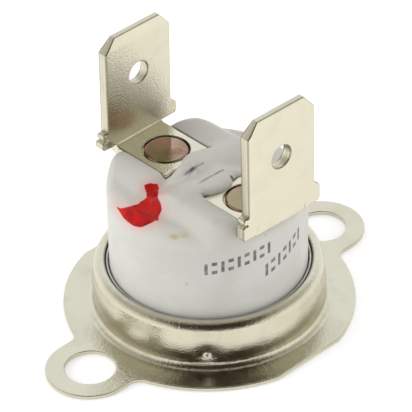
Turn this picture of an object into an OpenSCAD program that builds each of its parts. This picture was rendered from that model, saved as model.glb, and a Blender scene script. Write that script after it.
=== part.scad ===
// Bimetal disc thermostat with a ceramic body, a steel flange collar and two blade terminals.
// Millimetres. Origin at the centre of the flange's underside, +Z up through the ceramic body,
// X along the line of the two ears, Y from one terminal to the other.

/* [Flange] */
// Distance between the centres of the two ear holes
ear_spacing = 23.8; // [22.8:0.1:26]
// Diameter of each ear hole
ear_hole_d = 3.7; // [2.8:0.1:4.3]
// Width of each ear, which ends in a half circle
ear_w = 6.5; // [5.6:0.1:7.4]
// Diameter of the round flange
flange_d = 21.6; // [20.8:0.1:22.6]
// Distance across the two flats cut on the flange
flange_flats = 20.7; // [19.6:0.1:20.7]
// Thickness of the sheet that the flange and the collar are drawn from
sheet_t = 0.32; // [0.22:0.02:0.4]

/* [Collar] */
// Radius of the concave sweep from the flange up into the collar's wall
sweep_r = 0.5; // [0.2:0.05:0.7]
// How far the lower wall bulges out past the rolled shoulder
collar_bulge = 0.2; // [0.05:0.01:0.3]
// Radius of the bulged wall's curve, seen in section
bulge_curve_r = 6; // [4:0.5:9]
// Height of the widest line of the bulge
bulge_z = 1.5; // [1.2:0.1:1.8]
// Outer radius of the rolled shoulder, seen in section
shoulder_r = 0.75; // [0.55:0.05:0.9]
// Open ring between the ceramic and the collar's lip
lip_gap = 0.4; // [0.3:0.05:0.55]
// Diameter of the round punch that dents the collar onto the cap
dimple_d = 1.1; // [0.7:0.1:1.4]
// Depth of each dent
dimple_depth = 0.2; // [0.1:0.02:0.24]
// Height of the dents above the flange's underside
dimple_z = 1.5; // [1.3:0.05:2]

/* [Snap disc] */
// Diameter of the bimetal disc, which the cap, the guide and the ceramic are sized round
disc_d = 15.1; // [14.4:0.1:15.6]
// Thickness of the disc
disc_t = 0.2; // [0.15:0.05:0.3]
// How far its centre hangs below its rim when cold
disc_dish = 0.35; // [0.2:0.05:0.4]

/* [Sensing cap] */
// Thickness of the cap's sheet
cap_t = 0.25; // [0.2:0.01:0.32]
// Height of the ledge that the disc's rim rests on
ledge_z = 0.85; // [0.75:0.05:1]
// Width of the ledge under the disc's rim
ledge_w = 0.35; // [0.2:0.05:0.5]

/* [Pin and guide] */
// Diameter of the push pin
pin_d = 1.9; // [1.5:0.1:2.1]
// Diameter of the pin's small upper end
pin_nose_d = 0.8; // [0.5:0.1:1.2]
// Length of the pin's tapered upper end
pin_taper = 0.6; // [0.4:0.1:1]
// Height of the guide's top face above the flange's underside
guide_top = 2.65; // [2.5:0.05:2.9]
// Outer diameter of the guide's centre boss
guide_boss_d = 4.4; // [4:0.1:5]
// Height of the boss above the guide's top face
guide_boss_h = 1.35; // [0.8:0.05:1.8]

/* [Ceramic body] */
// Height of the ceramic's top face above the flange's underside
rim_z = 10.75; // [10.65:0.05:11]
// Radius of the rounded rim
rim_round = 1.3; // [0.6:0.1:1.4]
// How far the base stands out past the body, for the cap to grip
base_step = 0.45; // [0.35:0.05:0.6]
// Thickness of the base
base_t = 0.8; // [0.6:0.05:1]
// Height of the chamber's roof above the flange's underside
roof_z = 7.8; // [7.7:0.05:8]
// Height of the floor that the terminal feet sit on
foot_seat_z = 10.58; // [10.5:0.02:10.7]
// Radius of the broad rib beside each foot
broad_rib_r = 1.55; // [1.1:0.05:1.7]
// Height of the top of the broad ribs
broad_rib_z = 11.85; // [11.4:0.05:12.1]
// Radius of the narrow rib on each foot's other side
narrow_rib_r = 1.3; // [0.9:0.05:1.5]
// Height of the top of the narrow ribs
narrow_rib_z = 11.6; // [11.2:0.05:11.9]
// Height of the top of the barrier between the feet
barrier_top_z = 11.95; // [11.6:0.05:12.4]
// Radius of the barrier's two rounded ridges
ridge_r = 0.9; // [0.7:0.05:0.95]

/* [Terminals] */
// Width of each blade
tab_w = 6.3; // [4.8:0.1:6.5]
// Thickness of the terminal sheet
tab_t = 0.8; // [0.5:0.05:0.8]
// Height of the blades' tops above the flange's underside
tab_top_z = 20.36; // [18:0.02:22]
// Width of the cut across each top corner
corner_cut_w = 0.94; // [0.5:0.02:1.5]
// Height of the cut down each top corner
corner_cut_h = 1.04; // [0.5:0.02:1.5]
// Thickness of each blade at its tip
tip_t = 0.46; // [0.3:0.02:0.5]
// Length of the lead-in that thins the blade to its tip
tip_h = 0.8; // [0.4:0.05:1.2]
// Diameter of the latch hole in each blade
latch_hole_d = 1.8; // [1.2:0.1:2.1]
// Distance from the blade's top down to the centre of the latch hole
latch_hole_down = 3.87; // [3:0.01:5]
// Width across the stop shoulders at the blade's foot
shoulder_w = 7.5; // [6.9:0.1:8.4]
// Height of the stop shoulders above the foot's underside
shoulder_top = 1.92; // [1.6:0.02:2.4]
// Gap under the shoulders, above the foot's underside
shoulder_gap = 0.45; // [0.1:0.01:0.6]
// Width of the flat foot
foot_w = 4.6; // [4.2:0.1:4.8]
// Distance from the body's centre to the foot's inner end
foot_end = 1.87; // [1.8:0.01:2.2]
// Inner radius of the bend between foot and blade
bend_r = 0.2; // [0.15:0.05:0.5]
// Distance that the contact arm's blade stands outside the ceramic
arm_proud = 0.7; // [0.3:0.05:1]
// Distance that the fixed contact's blade stands outside the ceramic
fixed_proud = 0.1; // [0.05:0.05:1]
// Distance that both blades stand off their feet's centre line, towards +X
blade_shift = 0.2; // [0:0.02:0.3]
// Sideways lean of the contact arm's blade, in degrees
arm_lean = 0.5; // [-3:0.1:3]
// Sideways lean of the fixed contact's blade, in degrees
fixed_lean = -0.3; // [-3:0.1:3]

/* [Rivets] */
// Diameter of the rivet's shank
rivet_d = 2.4; // [2:0.1:2.4]
// Diameter of the rivet's upper head
head_d = 3.2; // [3:0.05:3.3]
// Diameter of the round sink in the foot that takes the head
foot_hole_d = 3.5; // [3.4:0.05:3.7]
// Depth of that sink
foot_hole_depth = 0.45; // [0.3:0.05:0.5]
// Thickness of the head at its edge
head_t = 0.3; // [0.2:0.02:0.34]
// How far the middle of the head is dished in
head_dish = 0.14; // [0.05:0.01:0.2]
// Thickness of the clinched lower end
clinch_t = 0.35; // [0.25:0.05:0.4]
// Diameter of the clinched lower end
clinch_d = 2.8; // [2.6:0.05:2.95]

/* [Contacts] */
// Diameter of the spacer and washers under the roof
spacer_d = 3; // [2.9:0.05:3.2]
// Height of the spacer between the roof and the contact arm
spacer_h = 1; // [0.8:0.05:1.1]
// Thickness of the contact arm's spring sheet
arm_t = 0.2; // [0.15:0.05:0.3]
// Width of the contact arm
arm_w = 2.4; // [2:0.1:2.8]
// Thickness of each washer
washer_t = 0.3; // [0.2:0.05:0.35]
// Diameter of the contact buttons
contact_d = 1; // [0.8:0.05:1.2]
// Height of the button on the contact arm
arm_contact_h = 0.55; // [0.4:0.05:0.6]
// Height of the button on the fixed strip
fixed_contact_h = 0.42; // [0.3:0.02:0.5]
// Thickness of the fixed strip
strip_t = 0.4; // [0.3:0.05:0.45]
// Width of the fixed strip
strip_w = 2.4; // [2:0.1:2.8]

/* [Hidden] */
// Running clearance round the push pin
pin_clear = 0.05;
// Gap between the snap disc's rim and the cap's wall
disc_side_gap = 0.25;
// Gap between the push pin and the contact buttons beside it
pin_gap = 0.22;
// Gap from the contact buttons to the fixed strip's upright leg
leg_gap = 0.12;
// Width of the contact arm's sheet past the button
arm_edge = 0.04;
// Gap from the washers under the roof to the contact chamber's wall
chamber_gap = 0.16;
// Clearance of pieces that drop into one another
fit_clear = 0.05;
// Clearance between the cap and the collar
collar_clear = 0.05;
// Clearance between faces that are clamped or rest on each other
face_clear = 0.02;
// Height that the collar's lip stands above the cap's lip
lip_rise = 0.18;
// Clearance round the feet in their pockets
pocket_clear = 0.08;
// Height of the straight waist between the bulge and the cap's lip
waist_h = 0.9;
// Ring left open between the cap's lip and the ceramic
cap_lip_gap = 0.15;
// Size of the bevels at the cap's bent corners
cap_edge = 0.2;
// How far the guide's foot ring reaches in over the disc's rim
guide_over = 0.6;
// Slot at each side of the bend, between the foot and the shoulders
bend_relief = 0.15;
// How far a leaning blade is sunk into the top of the bend
blade_sink = 0.3;
// Width of the flat rim round the rivet's dish
head_rim = 0.12;
// How far the pocket walls cut into the broad and the narrow ribs
broad_sink = 0.15;
narrow_sink = 0.5;
// Depth of the shallow valley between the barrier's two ridges
valley_depth = 0.15;
// How far a cut runs past the face it opens
over = 1;
// Number of dents round the collar, and the bearing of the first one
dimple_count = 3;
dimple_bearing = -135;
// Facet count of round shapes, and the steps of arcs in outlines
$fn = 96;
arc_steps = 10;

disc_r = disc_d / 2;
cap_in_r = disc_r + disc_side_gap;
cap_r = cap_in_r + cap_t;
step_r = disc_r - ledge_w + cap_t;
base_r = cap_in_r - fit_clear;
body_r = base_r - base_step;
body_d = 2 * body_r;
arm_reach = body_r + arm_proud;
fixed_reach = body_r + fixed_proud;
base_top = guide_top + base_t;
cap_top = base_top + face_clear + cap_t;
collar_in_r = cap_r + collar_clear;
shoulder_out_r = collar_in_r + sheet_t;
shoulder_c = [shoulder_out_r - shoulder_r, cap_top + lip_rise + sheet_t - shoulder_r];
lip_angle = acos((body_r + lip_gap - shoulder_c[0]) / shoulder_r);
bulge_c = [shoulder_out_r + collar_bulge - bulge_curve_r, bulge_z];
bulge_low = asin((sheet_t + sweep_r - bulge_z) / bulge_curve_r);
bulge_high = asin((cap_top - waist_h - bulge_z) / bulge_curve_r);
sweep_c = bulge_c + [bulge_curve_r * cos(bulge_low) + sweep_r, bulge_curve_r * sin(bulge_low)];

disc_rim_z = ledge_z + face_clear + disc_dish * (1 - pow((step_r - cap_t) / disc_r, 2));
disc_centre_top = disc_rim_z - disc_dish + disc_t;

contact_y = pin_d / 2 + pin_gap + contact_d / 2;
arm_tip = contact_y + contact_d / 2 + arm_edge;
strip_leg_y = contact_y + contact_d / 2 + leg_gap;
rivet_y = strip_leg_y + strip_t + fit_clear + spacer_d / 2;
chamber_d = 2 * rivet_y + spacer_d + 2 * chamber_gap;

foot_top_z = foot_seat_z + tab_t;
head_z = foot_top_z - foot_hole_depth;
arm_z = roof_z - spacer_h - arm_t;
clinch_arm_z = arm_z - washer_t - clinch_t;
clinch_strip_z = roof_z - strip_t - washer_t - clinch_t;
arm_contact_z = arm_z - arm_contact_h;
strip_low_z = arm_contact_z - face_clear - fixed_contact_h - strip_t;
deck_w = foot_w + 2 * pocket_clear;
ridge_y = foot_end - pocket_clear - ridge_r;
shank_hole_d = rivet_d + 2 * fit_clear;

// Points on an arc round c, from angle a0 to angle a1
function arc(c, r, a0, a1) = [for (i = [0 : arc_steps])
    c + r * [cos(a0 + (a1 - a0) * i / arc_steps), sin(a0 + (a1 - a0) * i / arc_steps)]];

// Flange outline: a disc with two flats, and an ear at each end of X
module flange_outline() {
    intersection() {
        circle(d = flange_d);
        square([flange_d, flange_flats], center = true);
    }
    for (side = [-1, 1]) {
        translate([side * ear_spacing / 2, 0]) circle(d = ear_w);
        translate([side * ear_spacing / 4, 0]) square([ear_spacing / 2, ear_w], center = true);
    }
}

// Section of the drawn wall, from the flange up the sweep and over the bulge to the rolled lip
module collar_section() {
    outer = concat(arc(sweep_c, sweep_r, 270, 180), arc(bulge_c, bulge_curve_r, bulge_low, bulge_high),
                   arc(shoulder_c, shoulder_r, 0, lip_angle));
    inner = concat(arc(shoulder_c, shoulder_r - sheet_t, lip_angle, 0),
                   arc(bulge_c, bulge_curve_r - sheet_t, bulge_high, bulge_low),
                   arc(sweep_c, sweep_r + sheet_t, 180, 270));
    foot_r = sweep_c[0] + sweep_r;
    polygon(concat([[foot_r, 0], [foot_r, sheet_t]], outer, inner));
}

module flange_collar() {
    wall_r = sweep_c[0] + sweep_r / 2;
    color("silver") difference() {
        union() {
            difference() {
                linear_extrude(sheet_t) flange_outline();
                translate([0, 0, -over]) cylinder(r = wall_r, h = sheet_t + 2 * over);
            }
            rotate_extrude() collar_section();
        }
        for (side = [-1, 1])
            translate([side * ear_spacing / 2, 0, -over]) cylinder(d = ear_hole_d, h = sheet_t + 2 * over);
        for (i = [0 : dimple_count - 1])
            rotate(dimple_bearing + i * 360 / dimple_count)
                translate([shoulder_out_r + collar_bulge + dimple_d / 2 - dimple_depth, 0, dimple_z])
                    sphere(d = dimple_d);
    }
}

// Drawn cup: sensing face, step up to the disc's ledge, wall, and the lip rolled over the ceramic's base
module sensing_cap() {
    lip_r = body_r + cap_lip_gap;
    color("lightgray") rotate_extrude() polygon([
        [0, 0], [step_r - cap_edge, 0], [step_r, cap_edge], [step_r, ledge_z - cap_t],
        [cap_r - cap_edge, ledge_z - cap_t], [cap_r, ledge_z - cap_t + cap_edge],
        [cap_r, cap_top - cap_edge / 2], [cap_r - cap_edge / 2, cap_top], [lip_r, cap_top],
        [lip_r, cap_top - cap_t], [cap_in_r, cap_top - cap_t], [cap_in_r, ledge_z],
        [step_r - cap_t, ledge_z], [step_r - cap_t, cap_t], [0, cap_t]]);
}

// Height of the cold disc's underside at radius r
function disc_low(r) = disc_rim_z - disc_dish * (1 - pow(r / disc_r, 2));

module bimetal_disc() {
    radii = [for (i = [0 : arc_steps]) disc_r * i / arc_steps];
    color("goldenrod") rotate_extrude() polygon(concat(
        [for (r = radii) [r, disc_low(r)]],
        [for (i = [arc_steps : -1 : 0]) [radii[i], disc_low(radii[i]) + disc_t]]));
}

// Guide disc: a foot ring that keeps the snap disc down, a web over it and a boss for the pin
module pin_guide() {
    guide_r = cap_in_r - fit_clear;
    bore_r = pin_d / 2 + pin_clear;
    ring_z = disc_rim_z + disc_t + pocket_clear;
    web_z = ring_z + disc_dish + pocket_clear;
    ring_in = disc_r - guide_over;
    color("burlywood") rotate_extrude() polygon([
        [bore_r, web_z], [ring_in, web_z], [ring_in, ring_z], [guide_r, ring_z], [guide_r, guide_top],
        [guide_boss_d / 2, guide_top], [guide_boss_d / 2, guide_top + guide_boss_h],
        [bore_r, guide_top + guide_boss_h]]);
}

module push_pin() {
    low = disc_centre_top + fit_clear;
    high = arm_z - face_clear;
    color("ivory") translate([0, 0, low]) rotate_extrude() polygon([
        [0, 0], [pin_d / 2, 0], [pin_d / 2, high - low - pin_taper], [pin_nose_d / 2, high - low], [0, high - low]]);
}

// Turned outline of the body: base, wall and rounded rim up to a height
module body_turned(top_z, round_r) {
    rotate_extrude() {
        translate([0, guide_top]) square([base_r, base_t]);
        translate([0, guide_top]) square([body_r, top_z - round_r - guide_top]);
        translate([0, guide_top]) square([body_r - round_r, top_z - guide_top]);
        intersection() {
            translate([body_r - round_r, top_z - round_r]) circle(r = round_r);
            translate([body_r - round_r, top_z - round_r]) square(round_r);
        }
    }
}

// Rib lying along Y: round in section, with a round start at y0
module rib(x, y0, length, r, top_z) {
    translate([x, y0, top_z - r]) {
        sphere(r = r);
        rotate([-90, 0, 0]) cylinder(r = r, h = length);
    }
}

// Ridge lying along X with two round ends, from x0 to x1
module ridge(y, x0, x1, r, top_z) {
    translate([x1, y, 0]) rotate(90) rib(0, 0, x1 - x0, r, top_z);
    translate([x0, y, top_z - r]) sphere(r = r);
}

// Raised form for one foot: a broad and a narrow rib beside it, and a ridge across its inner end
module foot_surround() {
    broad_x = deck_w / 2 + broad_rib_r - broad_sink;
    narrow_x = deck_w / 2 + narrow_rib_r - narrow_sink;
    rib(broad_x, ridge_y, body_r, broad_rib_r, broad_rib_z);
    rib(-narrow_x, foot_end, body_r, narrow_rib_r, narrow_rib_z);
    ridge(ridge_y, -deck_w / 2, broad_x, ridge_r, barrier_top_z);
}

// Room for one terminal: the foot's pocket, a slot for the blade's shoulders, and the rivet's hole
module terminal_room(reach) {
    translate([-deck_w / 2, foot_end - pocket_clear, foot_seat_z]) cube([deck_w, body_d, barrier_top_z]);
    shoulder_room = shoulder_w + 2 * (blade_shift + pocket_clear);
    translate([-shoulder_room / 2, reach - tab_t - pocket_clear, foot_seat_z])
        cube([shoulder_room, body_d, barrier_top_z]);
    translate([0, rivet_y, 0]) cylinder(d = shank_hole_d, h = barrier_top_z);
}

module ceramic_body() {
    color("white") difference() {
        union() {
            body_turned(rim_z, rim_round);
            intersection() {
                body_turned(barrier_top_z, rim_round);
                union() {
                    ridge(0, -deck_w / 2, deck_w / 2, ridge_r, barrier_top_z - valley_depth);
                    for (turn = [0, 180]) rotate(turn) foot_surround();
                }
            }
        }
        terminal_room(arm_reach);
        rotate(180) terminal_room(fixed_reach);
        translate([0, 0, -over]) cylinder(d = chamber_d, h = roof_z + over);
    }
}

// Foot and bend, seen from the side: Y outward, Z up
module foot_section(reach) {
    outer_r = bend_r + tab_t;
    c = [reach - outer_r, foot_seat_z + outer_r];
    polygon(concat([[foot_end, foot_seat_z]], arc(c, outer_r, -90, 0),
                   arc(c, bend_r, 0, -90), [[foot_end, foot_top_z]]));
}

// Blade outline, X across and Z up: cut corners, stop shoulders, and room for the foot's bend
module blade_outline(shift) {
    low = foot_seat_z + shoulder_gap;
    mid = foot_seat_z + shoulder_top;
    bend_top = foot_top_z + bend_r;
    difference() {
        polygon([[-shoulder_w / 2, low], [shoulder_w / 2, low], [shoulder_w / 2, mid], [tab_w / 2, mid],
                 [tab_w / 2, tab_top_z - corner_cut_h], [tab_w / 2 - corner_cut_w, tab_top_z],
                 [-tab_w / 2 + corner_cut_w, tab_top_z], [-tab_w / 2, tab_top_z - corner_cut_h],
                 [-tab_w / 2, mid], [-shoulder_w / 2, mid]]);
        translate([-foot_w / 2 - bend_relief - shift, 0]) square([foot_w + 2 * bend_relief, bend_top - blade_sink]);
        translate([0, tab_top_z - latch_hole_down]) circle(d = latch_hole_d);
    }
}

// Blade seen from the side, Y inward and Z up, thinned at its tip
module blade_side() {
    thinned = (tab_t - tip_t) / 2;
    polygon([[0, 0], [0, tab_top_z - tip_h], [-thinned, tab_top_z], [thinned - tab_t, tab_top_z],
             [-tab_t, tab_top_z - tip_h], [-tab_t, 0]]);
}

// Upright blade with its outer face on Y = 0
module blade(shift) {
    intersection() {
        rotate([90, 0, 0]) linear_extrude(tab_t) blade_outline(shift);
        rotate([90, 0, 90]) translate([0, 0, -shoulder_w / 2]) linear_extrude(shoulder_w) blade_side();
    }
}

// One terminal: the foot lies along +Y, and the blade stands at the stated reach
module terminal(reach, lean, shift) {
    difference() {
        union() {
            rotate([90, 0, 90]) translate([0, 0, -foot_w / 2]) linear_extrude(foot_w) foot_section(reach);
            translate([shift, reach, foot_top_z]) rotate([0, lean, 0]) translate([0, 0, -foot_top_z]) blade(shift);
        }
        translate([0, rivet_y, head_z]) cylinder(d = foot_hole_d, h = tab_t);
        translate([0, rivet_y, 0]) cylinder(d = shank_hole_d, h = foot_top_z + over);
    }
}

module arm_terminal() { color("gainsboro") terminal(arm_reach, arm_lean, blade_shift); }
module fixed_terminal() { color("gainsboro") rotate(180) terminal(fixed_reach, -fixed_lean, -blade_shift); }

// Rivet: dished head in the foot's sink, shank through the roof, clinched lower end
module rivet(clinch_z) {
    dish_r = head_d / 2 - head_rim;
    rotate_extrude() polygon(concat([
        [0, clinch_z], [clinch_d / 2, clinch_z], [clinch_d / 2, clinch_z + clinch_t],
        [rivet_d / 2, clinch_z + clinch_t], [rivet_d / 2, head_z], [head_d / 2, head_z],
        [head_d / 2, head_z + head_t]],
        [for (i = [arc_steps : -1 : 0]) let (share = i / arc_steps)
            [dish_r * share, head_z + head_t - head_dish * (1 - pow(share, 2))]]));
}

module arm_rivet() { color("peru") translate([0, rivet_y, 0]) rivet(clinch_arm_z); }
module fixed_rivet() { color("peru") translate([0, -rivet_y, 0]) rivet(clinch_strip_z); }

// Ring round a rivet, between two heights
module rivet_ring(y, low, high) {
    translate([0, y, low]) difference() {
        cylinder(d = spacer_d, h = high - low);
        translate([0, 0, -over]) cylinder(d = shank_hole_d, h = high - low + 2 * over);
    }
}

module arm_spacer() { color("gold") rivet_ring(rivet_y, arm_z + arm_t, roof_z); }
module arm_washer() { color("gold") rivet_ring(rivet_y, arm_z - washer_t, arm_z); }
module strip_washer() { color("gold") rivet_ring(-rivet_y, roof_z - strip_t - washer_t, roof_z - strip_t); }

// Leaf spring: a round eye on the rivet and a straight tongue past the centre
module contact_arm() {
    color("orange") translate([0, 0, arm_z]) linear_extrude(arm_t) difference() {
        union() {
            translate([0, rivet_y]) circle(d = spacer_d);
            translate([-arm_w / 2, -arm_tip]) square([arm_w, arm_tip + rivet_y]);
        }
        translate([0, rivet_y]) circle(d = shank_hole_d);
    }
}

module arm_contact() {
    color("lightgray") translate([0, -contact_y, arm_contact_z]) cylinder(d = contact_d, h = arm_contact_h);
}

// Stepped strip: an eye under the roof, a leg down, and a shelf under the contact arm's tip
module fixed_strip() {
    shelf_end = contact_y - contact_d / 2 - fit_clear;
    leg = strip_leg_y + strip_t;
    top = roof_z - strip_t;
    color("gold") difference() {
        union() {
            translate([0, -rivet_y, top]) cylinder(d = spacer_d, h = strip_t);
            translate([-strip_w / 2, -rivet_y, top]) cube([strip_w, rivet_y - strip_leg_y, strip_t]);
            translate([-strip_w / 2, -leg, strip_low_z]) cube([strip_w, strip_t, roof_z - strip_low_z]);
            translate([-strip_w / 2, -leg, strip_low_z]) cube([strip_w, leg - shelf_end, strip_t]);
        }
        translate([0, -rivet_y, 0]) cylinder(d = shank_hole_d, h = roof_z + over);
    }
}

module fixed_contact() {
    color("lightgray") translate([0, -contact_y, strip_low_z + strip_t])
        cylinder(d = contact_d, h = fixed_contact_h);
}

flange_collar();
sensing_cap();
bimetal_disc();
pin_guide();
push_pin();
ceramic_body();
arm_terminal();
fixed_terminal();
arm_rivet();
fixed_rivet();
contact_arm();
arm_contact();
fixed_strip();
fixed_contact();
arm_spacer();
arm_washer();
strip_washer();
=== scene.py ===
import bmesh
import bpy
import numpy as np
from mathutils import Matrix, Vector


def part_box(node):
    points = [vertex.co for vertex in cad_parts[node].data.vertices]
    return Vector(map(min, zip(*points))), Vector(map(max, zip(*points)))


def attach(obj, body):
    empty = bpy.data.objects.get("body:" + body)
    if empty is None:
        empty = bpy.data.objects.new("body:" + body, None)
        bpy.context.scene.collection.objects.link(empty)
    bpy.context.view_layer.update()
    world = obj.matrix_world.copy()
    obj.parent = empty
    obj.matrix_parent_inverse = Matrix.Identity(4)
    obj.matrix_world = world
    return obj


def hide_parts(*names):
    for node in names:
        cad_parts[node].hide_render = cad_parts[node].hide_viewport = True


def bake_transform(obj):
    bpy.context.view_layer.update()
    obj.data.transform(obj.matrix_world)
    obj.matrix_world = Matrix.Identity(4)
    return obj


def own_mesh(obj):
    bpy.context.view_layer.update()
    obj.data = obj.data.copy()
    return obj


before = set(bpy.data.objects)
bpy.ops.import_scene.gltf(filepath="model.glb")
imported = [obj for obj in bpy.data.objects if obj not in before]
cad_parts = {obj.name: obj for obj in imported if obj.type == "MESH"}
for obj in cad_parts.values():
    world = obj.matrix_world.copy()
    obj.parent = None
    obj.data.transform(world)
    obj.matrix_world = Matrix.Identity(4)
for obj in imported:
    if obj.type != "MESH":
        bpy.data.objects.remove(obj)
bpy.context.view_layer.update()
MM = 0.001
TAU = 2 * np.pi

# Sensing cap: a cup drawn from thin aluminium. Its flat face takes the heat, a step inside it carries the
# snap disc, and its lip is rolled over the base of the ceramic.
cap_high = np.array(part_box("sensing_cap")[1]) / MM
cap_r, cap_top = cap_high[0], cap_high[2]
cap_t = 0.25
cap_step_r = 7.45
cap_ledge_z = 0.85
bead_in_r, bead_out_r, bead_z = 7.36, 7.54, 3.92
# edge marks for the materials: the first value puts a painted shade line where it stands, the second marks no cut edge
# near, the third is far from any mark
shade_line_edge, off_edge, far_off = 0.02, 0.5, 9.0


def unit(way):
    """Each vector's direction, with a length of 1."""
    return way / np.linalg.norm(way, axis=-1, keepdims=True)


def points(*parts):
    """Points from their coordinates, each repeated to the size of the largest."""
    return np.stack(np.broadcast_arrays(*parts), -1)


def polar(radius, angle, centre=(0, 0)):
    """Flat points round a centre: x = r cos t and y = r sin t from it."""
    return points(centre[0] + radius * np.cos(angle), centre[1] + radius * np.sin(angle))


def lift(flat, z):
    """Flat points (x, y) given a height."""
    return points(flat[..., 0], flat[..., 1], z)


def rounded(corners, radii, steps=6):
    """Closed outline through the corners, each turned by an arc of its own radius r. The arc touches both
    sides at r / tan(half the corner's angle) from the corner, and its centre is r / sin(half) away."""
    p, r = np.asarray(corners, float), np.asarray(radii, float)[:, None]
    a, b = unit(np.roll(p, 1, 0) - p), unit(np.roll(p, -1, 0) - p)
    half = np.arccos(np.clip((a * b).sum(1), -1, 1))[:, None] / 2
    centre = p + unit(a + b) * r / np.sin(half)
    start, end = p + a * r / np.tan(half) - centre, p + b * r / np.tan(half) - centre
    turn = np.arctan2(start[:, 0] * end[:, 1] - start[:, 1] * end[:, 0], (start * end).sum(1))
    angle = np.arctan2(start[:, 1], start[:, 0])[:, None] + turn[:, None] * np.linspace(0, 1, steps + 1)
    arcs = (centre[:, None] + r[:, None] * polar(1, angle)).reshape(-1, 2)
    return arcs[np.linalg.norm(arcs - np.roll(arcs, 1, 0), axis=1) > 1e-5]


def turned(section, centre=(0, 0), steps=240):
    """Closed section (r, z) carried round the Z axis by a full turn."""
    r, z = np.vstack([section, section[:1]]).T
    return lift(polar(r, np.linspace(0, TAU, steps + 1)[:, None], centre), z)


def placed(name, data):
    """Object for a mesh, a camera or a lamp, linked to the scene."""
    piece = bpy.data.objects.new(name, data)
    bpy.context.scene.collection.objects.link(piece)
    return piece


def keep_values(mesh, name, values):
    """Stores one value per mesh point as an attribute that the material reads."""
    mesh.attributes.new(name, "FLOAT", "POINT").data.foreach_set("value", values.astype(np.float32))


def solid(name, patches, material, sharp=35):
    """One closed mesh from several grids of points. Points that meet are joined, faces with no area are
    dropped, every face is turned outward, and edges bent by more than the sharp angle stay crisp. A grid may
    carry a fourth column: the distance from the sheet's cut edge, which its material reads."""
    spots, faces, count = [], [], 0
    for grid in patches:
        rows, columns, width = grid.shape
        index = count + np.arange(rows * columns).reshape(rows, columns)
        faces.append(np.stack([index[:-1, :-1], index[1:, :-1], index[1:, 1:], index[:-1, 1:]], -1).reshape(-1, 4))
        spots.append(np.hstack([grid.reshape(-1, width), np.full((rows * columns, 4 - width), off_edge)]))
        count += rows * columns
    spots = np.vstack(spots)
    mesh = bpy.data.meshes.new(name)
    mesh.from_pydata((spots[:, :3] * MM).tolist(), [], np.vstack(faces).tolist())
    keep_values(mesh, "edge", spots[:, 3])
    build = bmesh.new()
    build.from_mesh(mesh)
    bmesh.ops.remove_doubles(build, verts=build.verts, dist=2e-7)
    bmesh.ops.dissolve_degenerate(build, edges=build.edges, dist=1e-7)
    bmesh.ops.delete(build, geom=[edge for edge in build.edges if edge.is_wire], context="EDGES")
    bmesh.ops.recalc_face_normals(build, faces=build.faces)
    build.to_mesh(mesh)
    build.free()
    mesh.shade_smooth()
    mesh.set_sharp_from_angle(angle=np.radians(sharp))
    mesh.materials.append(material)
    return placed(name, mesh)


def tone(*rgb):
    """Colour written as 0 to 255 on screen, turned into the shader's linear value."""
    c = np.array(rgb) / 255
    return (*np.where(c > 0.04045, ((c + 0.055) / 1.055) ** 2.4, c / 12.92), 1.0)


def plug(node, **inputs):
    """Gives a shader node values or sockets for its named inputs, where an underscore stands for a space, and
    in0, in1 and so on name an input by its place. Returns the node's outputs."""
    for key, value in inputs.items():
        socket = node.inputs[int(key[2:]) if key[2:].isdigit() else key.replace("_", " ")]
        if isinstance(value, bpy.types.NodeSocket):
            node.id_data.links.new(value, socket)
        else:
            socket.default_value = value
    return node.outputs


def add(tree, kind, settings=None, **inputs):
    """New shader node. Settings are its own properties."""
    node = tree.nodes.new("ShaderNode" + kind)
    for key, value in (settings or {}).items():
        setattr(node, key, value)
    return plug(node, **inputs)


def maths(operation, *values):
    """Result of a Math node on up to three values, of which one at least is a socket."""
    tree = next(value.id_data for value in values if isinstance(value, bpy.types.NodeSocket))
    return add(tree, "Math", {"operation": operation}, **{f"in{i}": value for i, value in enumerate(values)})[0]


def times(a, b):
    """Product of two values."""
    return maths("MULTIPLY", a, b)


def apart(a, b):
    """Distance between two values."""
    return maths("ABSOLUTE", maths("SUBTRACT", a, b))


def ramp(value, low, high, to_low=0.0, to_high=1.0):
    """Value carried smoothly from one range to another."""
    return add(value.id_data, "MapRange", {"interpolation_type": "SMOOTHSTEP"}, Value=value, From_Min=low,
               From_Max=high, To_Min=to_low, To_Max=to_high)[0]


def tint(share, a, b):
    """Colour a mixed with colour b by a share from 0 to 1."""
    return add(share.id_data, "Mix", {"data_type": "RGBA"}, in0=share, in6=a, in7=b)[2]


def noise(vector, scale, detail=4.0, distortion=0.0):
    """Noise from 0 to 1 on a position."""
    return add(vector.id_data, "TexNoise", Vector=vector, Scale=scale, Detail=detail, Distortion=distortion)["Fac"]


def group(name, inputs, outputs):
    """Empty shader node group, its sockets given by kind; returns the tree, its inputs and its output node."""
    tree = bpy.data.node_groups.new(name, "ShaderNodeTree")
    for direction, sockets in (("INPUT", inputs), ("OUTPUT", outputs)):
        for kind, labels in sockets.items():
            for label in labels.split():
                tree.interface.new_socket(name=label, in_out=direction, socket_type="NodeSocket" + kind)
    return tree, tree.nodes.new("NodeGroupInput").outputs, tree.nodes.new("NodeGroupOutput")


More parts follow.
